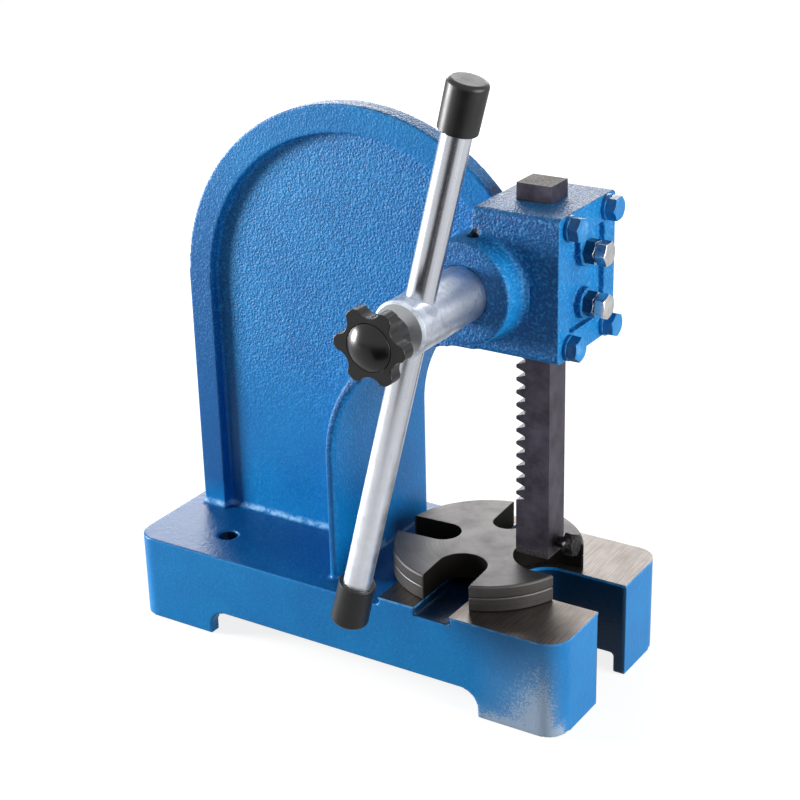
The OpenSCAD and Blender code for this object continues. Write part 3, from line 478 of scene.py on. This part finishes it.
def oxide_screw():
    """Hardened screw in black oxide: near black, with a dry sheen and grey rubbed spots."""
    made, t, shader = finish_named("steel, black oxide", Metallic=0.6)
    where = put(t, "TexCoord").outputs["Object"]
    rub = put(t, "TexNoise", {"Vector": where, "Scale": per_mm(1.4), "Detail": 3.0})
    tone = put(t, "MapRange", {"Value": rub.outputs["Fac"], "From Min": 0.5, "From Max": 0.75})
    colour = put(t, "Mix", {0: tone.outputs[0], 6: linear("#131214"), 7: linear("#4a4748")},
                 data_type="RGBA")
    rough = put(t, "MapRange", {"Value": rub.outputs["Fac"], "To Min": 0.28, "To Max": 0.48})
    dress(t, shader, Base_Color=colour.outputs[2], Roughness=rough.outputs[0])
    return made


def black_plastic(name, tone_low, tone_high, rough_low, rough_high, relief):
    """Moulded black plastic: a satin skin with a fine grain from the mould, drawn 0.55 mm wide to show."""
    made, t, shader = finish_named(name, IOR=1.46)
    where = put(t, "TexCoord").outputs["Object"]
    flow = put(t, "TexNoise", {"Vector": where, "Scale": per_mm(8), "Detail": 3.0})
    grain = put(t, "TexNoise", {"Vector": where, "Scale": per_mm(0.55), "Detail": 2.0})
    colour = put(t, "Mix", {0: flow.outputs["Fac"], 6: linear(tone_low), 7: linear(tone_high)},
                 data_type="RGBA")
    rough = put(t, "MapRange", {"Value": flow.outputs["Fac"], "From Min": 0.3, "From Max": 0.7,
                                "To Min": rough_low, "To Max": rough_high})
    bump = put(t, "Bump", {"Strength": relief, "Distance": 0.04 * MM, "Height": grain.outputs["Fac"]})
    dress(t, shader, Base_Color=colour.outputs[2], Roughness=rough.outputs[0], Normal=bump.outputs[0])
    return made


cast_paint = blue_enamel("blue gloss enamel on sand-cast iron", 1.0)
screw_paint = blue_enamel("blue gloss enamel on rolled screws", 0.12)
bed_iron = milled_iron()
anvil_iron = turned_iron()
bar_chrome = drawn_bar()
shaft_zinc = zinc("zinc plate on turned steel", "#9da4b0", "#e2e9f4", 0.26, 0.44, end_face=True)
screw_zinc = zinc("bright zinc plate on screws", "#c3c4c6", "#e4e4e4", 0.14, 0.26, end_face=False)
nut_zinc = painted_nut()
ram_black = blackened_ram()
screw_black = oxide_screw()
cap_vinyl = black_plastic("vinyl, dip moulded", "#0a0a0b", "#111112", 0.34, 0.46, relief=0.25)
knob_nylon = black_plastic("glass-filled nylon, moulded", "#0a0a0b", "#131315", 0.24, 0.34, relief=0.3)
dome_nylon = black_plastic("nylon, polished mould", "#080809", "#0e0e0f", 0.22, 0.28, relief=0.06)


# Pieces

SAME_POINT = 0.002 * MM
SAME_FLAT = math.radians(0.4)
SHARP_EDGE = math.radians(32)


def soft_normals(piece):
    """Flat faces stay flat and the eased edges carry the turn of the light."""
    weighted = piece.modifiers.new("soft normals", "WEIGHTED_NORMAL")
    weighted.weight = 80
    weighted.keep_sharp = False


def ease(name, radius, material, segments=2):
    """Eases the edges of a node by a radius in millimetres, with modifiers, and gives it its finish."""
    node = nodes[name]
    weld = node.modifiers.new("weld", "WELD")
    weld.merge_threshold = SAME_POINT
    flat = node.modifiers.new("join flats", "DECIMATE")
    flat.decimate_type = "DISSOLVE"
    flat.angle_limit = SAME_FLAT
    edge = node.modifiers.new("eased edges", "BEVEL")
    edge.width = radius * MM
    edge.segments = segments
    edge.limit_method = "ANGLE"
    edge.angle_limit = SHARP_EDGE
    edge.use_clamp_overlap = True
    soft_normals(node)
    node.material_slots[0].material = material


def welded(name):
    """Closed working copy of a node's mesh, without the normals it came with."""
    work = bmesh.new()
    work.from_mesh(nodes[name].data)
    bmesh.ops.remove_doubles(work, verts=work.verts, dist=SAME_POINT)
    for layer in list(work.loops.layers.float_vector.values()):
        work.loops.layers.float_vector.remove(layer)
    return work


def mesh_of(work, name):
    """Mesh from a working copy, which is then done with."""
    mesh = bpy.data.meshes.new(name)
    work.to_mesh(mesh)
    work.free()
    return mesh


def piece_from(mesh, name, standing_for, materials):
    """New piece in place of a node, on the same body, with the given materials."""
    piece = bpy.data.objects.new(name, mesh)
    bpy.context.scene.collection.objects.link(piece)
    for material in materials:
        mesh.materials.append(material)
    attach(piece, body_of[standing_for])
    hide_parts(standing_for)
    return piece


def cast_skin(name, new_name, work, grid, rounds, keep):
    """Sand casting from a node's mesh: the mould rounds every edge and fills every inner corner, so the
    form is laid on a grid of so many millimetres, smoothed in rounds, and thinned to the share kept."""
    piece = piece_from(mesh_of(work, new_name), new_name, name, [cast_paint])
    cast = piece.modifiers.new("cast skin", "REMESH")
    cast.mode = "VOXEL"
    cast.voxel_size = grid * MM
    cast.use_smooth_shade = True
    rounded = piece.modifiers.new("mould radius", "SMOOTH")
    rounded.factor = 0.5
    rounded.iterations = rounds
    thin = piece.modifiers.new("thinned flats", "DECIMATE")
    thin.ratio = keep
    soft_normals(piece)


cast_skin("frame_casting", "press_casting", welded("frame_casting"), grid=0.8, rounds=3, keep=0.15)

# The cover is pressed to the head under one coat of paint, so its back edge is sunk in the head.
COVER_SUNK = 2.4 * MM
cover_work = welded("front_cover")
for v in cover_work.verts:
    if v.co.x < cover_back + 0.01 * MM:
        v.co.x -= COVER_SUNK
cast_skin("front_cover", "cover_plate", cover_work, grid=0.5, rounds=4, keep=0.3)

# Milled bed: the cutter leaves a bare, crisp-edged face on top of the rounded casting.
BED_PROUD = 0.04 * MM
BED_DEPTH = 1.1 * MM
bed_work = welded("frame_casting")
bed_off = [f for f in bed_work.faces
           if f.normal.z < 0.99 or abs(f.calc_center_median().z - BED_Z) > 0.02 * MM]
bmesh.ops.delete(bed_work, geom=bed_off, context="FACES")
bmesh.ops.dissolve_limit(bed_work, angle_limit=math.radians(0.3), verts=bed_work.verts,
                         edges=bed_work.edges)
bed_top = list(bed_work.faces)
for v in bed_work.verts:
    v.co.z += BED_PROUD
lowered = bmesh.ops.extrude_face_region(bed_work, geom=bed_top)
for v in (g for g in lowered["geom"] if isinstance(g, bmesh.types.BMVert)):
    v.co.z -= BED_DEPTH
bmesh.ops.recalc_face_normals(bed_work, faces=bed_work.faces)
for f in bed_work.faces:
    f.smooth = False
    f.material_index = 0 if f.normal.z > 0.9 else 1
piece_from(mesh_of(bed_work, "milled_bed"), "milled_bed", "frame_casting", [bed_iron, cast_paint])

for i in range(1, 5):
    ease("cover_bolt_%d" % i, 0.35, screw_paint)
    ease("cover_washer_%d" % i, 0.3, screw_paint)
for i in (1, 2):
    ease("adjuster_screw_%d" % i, 0.3, screw_zinc)
    ease("adjuster_nut_%d" % i, 0.3, nut_zinc)
ease("ram", 0.3, ram_black)
ease("pinion_shaft", 0.25, shaft_zinc)
ease("shaft_washer", 0.3, shaft_zinc)
ease("shaft_screw", 0.35, screw_zinc)
ease("handle_bar", 0.5, bar_chrome)
ease("handle_cap_upper", 0.4, cap_vinyl)
ease("handle_cap_lower", 0.4, cap_vinyl)
ease("knob_star", 0.9, knob_nylon, segments=3)
ease("knob_dome", 0.2, dome_nylon)
ease("anvil_plate", 0.25, anvil_iron)
ease("anvil_pin", 0.3, anvil_iron)


def threaded_rod(radius, pitch, length, lead):
    """Screw thread along local Z: a rod whose radius follows the helix and runs out at both ends. Crest,
    root and the two flanks each take a quarter of the pitch."""
    sides, rings_per_turn = 48, 10
    depth = 0.61 * pitch
    steps = max(int(length / pitch * rings_per_turn), 6)
    work = bmesh.new()
    rings = []
    for i in range(steps + 1):
        z = length * i / steps
        end = max(min(1.0, z / lead, (length - z) / lead), 0.0)
        ring = []
        for j in range(sides):
            turn = 2 * math.pi * j / sides
            phase = (z / pitch - j / sides) % 1.0
            crest = min(max(1.5 - 4 * abs(phase - 0.5), 0.0), 1.0)
            r = radius - depth + depth * crest * end
            ring.append(work.verts.new((r * math.cos(turn), r * math.sin(turn), z)))
        rings.append(ring)
    for a, b in zip(rings, rings[1:]):
        for j in range(sides):
            k = (j + 1) % sides
            work.faces.new((a[j], a[k], b[k], b[j]))
    work.faces.new(list(reversed(rings[0])))
    work.faces.new(rings[-1])
    return work


def turned_mesh(work, name):
    """Mesh of a turned piece, smooth round it and flat on its ends."""
    for f in work.faces:
        f.smooth = len(f.verts) < 6
    bmesh.ops.recalc_face_normals(work, faces=work.faces)
    mesh = mesh_of(work, name)
    old_normals = mesh.attributes.get("custom_normal")
    if old_normals:
        mesh.attributes.remove(old_normals)
    return mesh


# Stud of the knob, with its M8 thread in view between the knob and the shaft
STUD_PITCH = 1.25 * MM
stud_r = (stud_high.z - stud_low.z) / 2
stud_work = threaded_rod(stud_r, STUD_PITCH, stud_high.y - stud_low.y, lead=1.2 * MM)
stud_work.transform(Matrix.Translation((shaft_mid.x, stud_high.y, shaft_mid.z))
                    @ Matrix.Rotation(math.pi / 2, 4, "X"))
stud_mesh = turned_mesh(stud_work, "knob_stud_thread")
piece_from(stud_mesh, "knob_stud_thread", "knob_stud", [screw_zinc])

# Tool clamp screw: the head of its node, with the shank turned down and an M6 thread on it
SCREW_R = 3.0 * MM
SCREW_PITCH = 1.0 * MM
SCREW_CORE = 0.72
SCREW_HEAD = 5.8 * MM
clamp_work = welded("tool_clamp_screw")
for v in clamp_work.verts:
    out = math.hypot(v.co.y - clamp_mid.y, v.co.z - clamp_mid.z)
    if abs(out - SCREW_R) < 0.03 * MM:
        v.co.y = clamp_mid.y + (v.co.y - clamp_mid.y) * SCREW_CORE
        v.co.z = clamp_mid.z + (v.co.z - clamp_mid.z) * SCREW_CORE
shank_l = clamp_high.x - clamp_low.x - SCREW_HEAD
shank_work = threaded_rod(SCREW_R, SCREW_PITCH, shank_l, lead=0.8 * MM)
shank_work.transform(Matrix.Translation((clamp_low.x, clamp_mid.y, clamp_mid.z))
                     @ Matrix.Rotation(math.pi / 2, 4, "Y"))
clamp_work.from_mesh(mesh_of(shank_work, "shank"))
clamp_mesh = turned_mesh(clamp_work, "clamp_screw_thread")
piece_from(clamp_mesh, "clamp_screw_thread", "tool_clamp_screw", [screw_black])


# Studio

def light(name, place, aim, size, watts):
    """White softbox of so many metres by so many, turned towards a point."""
    lamp = bpy.data.lights.new(name, "AREA")
    lamp.shape = "RECTANGLE"
    lamp.size, lamp.size_y = size
    lamp.energy = watts
    holder = bpy.data.objects.new(name, lamp)
    holder.location = place
    holder.rotation_euler = (Vector(aim) - Vector(place)).to_track_quat("-Z", "Y").to_euler()
    bpy.context.scene.collection.objects.link(holder)


def lay_sheet(name, outline, height, material):
    """Flat sheet of the studio, from its four corners, at a height."""
    mesh = bpy.data.meshes.new(name)
    mesh.from_pydata([(x, y, height) for x, y in outline], [], [(0, 1, 2, 3)])
    mesh.materials.append(material)
    sheet = bpy.data.objects.new(name, mesh)
    bpy.context.scene.collection.objects.link(sheet)
    return sheet


def white_paper():
    """Matt white paper: it takes the soft shadow, and shows as white to the eye and in the metal."""
    made = bpy.data.materials.new("white paper floor")
    made.use_nodes = True
    t = made.node_tree
    t.nodes.clear()
    path = put(t, "LightPath").outputs
    away = put(t, "VectorMath", {0: put(t, "TexCoord").outputs["Object"]}, operation="LENGTH")
    # a little greyer round the object, so that its shadow has a soft end
    sweep = put(t, "MapRange", {"Value": away.outputs["Value"], "From Min": 0.3, "From Max": 1.0,
                                "To Min": 0.84, "To Max": 1.0})
    seen = put(t, "Math", {0: path["Is Glossy Ray"], 1: path["Is Transmission Ray"]}, operation="MAXIMUM")
    mirrored = put(t, "Math", {0: seen.outputs[0], 1: 0.45}, operation="MULTIPLY")
    glow = put(t, "Math", {0: path["Is Camera Ray"], 1: sweep.outputs[0], 2: mirrored.outputs[0]},
               operation="MULTIPLY_ADD")
    white = put(t, "Emission", {"Color": linear("#ffffff"), "Strength": glow.outputs[0]})
    matt = put(t, "BsdfDiffuse", {"Color": linear("#979797")})
    both = put(t, "AddShader", {0: white.outputs[0], 1: matt.outputs[0]})
    put(t, "OutputMaterial", {"Surface": both.outputs[0]})
    return made


def white_room():
    """World that is white to the eye and in the metal, and adds little light of its own."""
    room = bpy.data.worlds.new("studio")
    room.use_nodes = True
    t = room.node_tree
    t.nodes.clear()
    path = put(t, "LightPath").outputs
    seen = put(t, "Math", {0: path["Is Camera Ray"], 1: path["Is Glossy Ray"]}, operation="MAXIMUM")
    seen = put(t, "Math", {0: seen.outputs[0], 1: path["Is Transmission Ray"]}, operation="MAXIMUM")
    level = put(t, "MapRange", {"Value": seen.outputs[0], "To Min": 0.04, "To Max": 1.0})
    air = put(t, "Background", {"Color": linear("#ffffff"), "Strength": level.outputs[0]})
    put(t, "OutputWorld", {"Surface": air.outputs[0]})
    return room


bpy.context.scene.world = white_room()
FLOOR_HALF = 15.0
FLOOR_GAP = 0.4 * MM
floor_outline = [(x * FLOOR_HALF, y * FLOOR_HALF) for x, y in ((-1, -1), (1, -1), (1, 1), (-1, 1))]
lay_sheet("floor", floor_outline, -FLOOR_GAP, white_paper())

# Dark cloth on the camera's side of the floor, seen only in the metal: it draws the dark streak on the bar.
CLOTH_NEAR, CLOTH_FAR = -0.27, -1.3
cloth_outline = ((-0.1, CLOTH_FAR), (1.0, CLOTH_FAR), (0.33, CLOTH_NEAR), (0.07, CLOTH_NEAR))
felt = finish_named("black felt cloth", Base_Color=linear("#101010"), Roughness=1.0)[0]
cloth = lay_sheet("dark_cloth", cloth_outline, 1 * MM, felt)
cloth.visible_camera = False
cloth.visible_diffuse = False
cloth.visible_shadow = False

light("left_softbox", (-1.07, -0.42, 0.27), aim=(0.0, 0.03, 0.14), size=(0.34, 0.42), watts=25.0)
light("right_softbox", (1.15, 0.04, 0.3), aim=(0.05, 0.03, 0.14), size=(0.8, 0.8), watts=18.0)
light("back_softbox", (-0.62, 0.98, 0.56), aim=(0.0, 0.03, 0.2), size=(1.1, 0.5), watts=12.0)
light("top_softbox", (0.1, 0.0, 1.25), aim=(0.02, 0.02, 0.15), size=(0.9, 0.9), watts=0.6)

# Camera at the place worked out from the photograph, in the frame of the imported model
EYE_PLACE = Vector((0.44745, -0.65135, 0.4688))
AZIMUTH, ELEVATION, ROLL = (math.radians(a) for a in (32.7958, 22.9385, -1.4577))
SENSOR_MM, LENS_MM = 36.0, 83.419
back = Vector((math.sin(AZIMUTH) * math.cos(ELEVATION), -math.cos(AZIMUTH) * math.cos(ELEVATION),
               math.sin(ELEVATION)))
right = Vector((math.cos(AZIMUTH), math.sin(AZIMUTH), 0))
up = back.cross(right)
right_rolled = math.cos(ROLL) * right + math.sin(ROLL) * up
up_rolled = math.cos(ROLL) * up - math.sin(ROLL) * right
eye = bpy.data.cameras.new("photo_camera")
eye.sensor_width = SENSOR_MM
eye.lens = LENS_MM
eye.clip_start = 0.01
camera = bpy.data.objects.new("photo_camera", eye)
camera.matrix_world = Matrix.Translation(EYE_PLACE) @ Matrix(
    (right_rolled, up_rolled, back)).transposed().to_4x4()
bpy.context.scene.collection.objects.link(camera)
bpy.context.scene.camera = camera
bpy.context.scene.view_settings.view_transform = "Standard"
